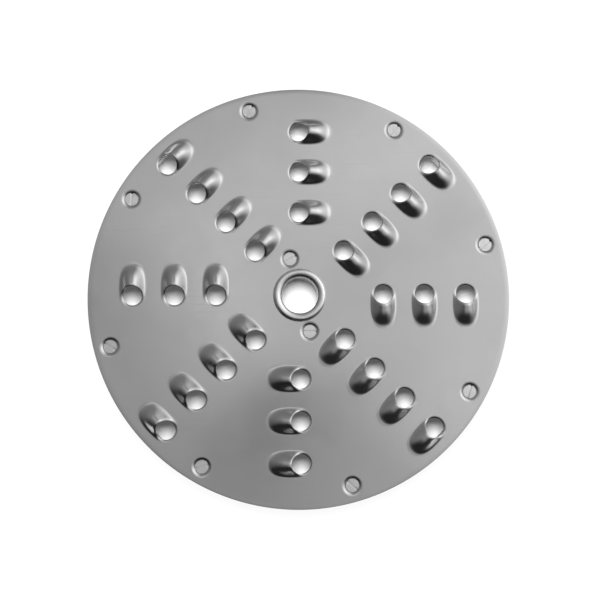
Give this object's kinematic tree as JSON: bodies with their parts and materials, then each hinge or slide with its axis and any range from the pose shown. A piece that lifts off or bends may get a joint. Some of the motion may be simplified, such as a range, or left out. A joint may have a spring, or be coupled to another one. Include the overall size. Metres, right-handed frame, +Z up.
{
  "type": "food processor shredding disc",
  "caption": "Round stainless shredding disc with formed round teeth, screwed to a cast carrier with a central drive bore.",
  "frame": {"origin": "on the axis of the drive bore, at the foot of the hub that the disc stands on", "axes": "+Z up along the drive bore, on the side of the teeth; +X and +Y along the rows that hold the fewer teeth"},
  "size_m": [0.205, 0.205, 0.02],
  "materials": {
    "stainless_sheet": "satin sheet, softly wavy, with fine handling marks",
    "cast_aluminium": "as cast, with the hub turned bright",
    "screw_steel": "turned, with worn slots"
  },
  "bodies": {
    "root": {"grating_plate": "stainless_sheet", "carrier": "cast_aluminium", "rim_screws": "screw_steel", "hub_screws": "screw_steel"}
  },
  "joints": []
}
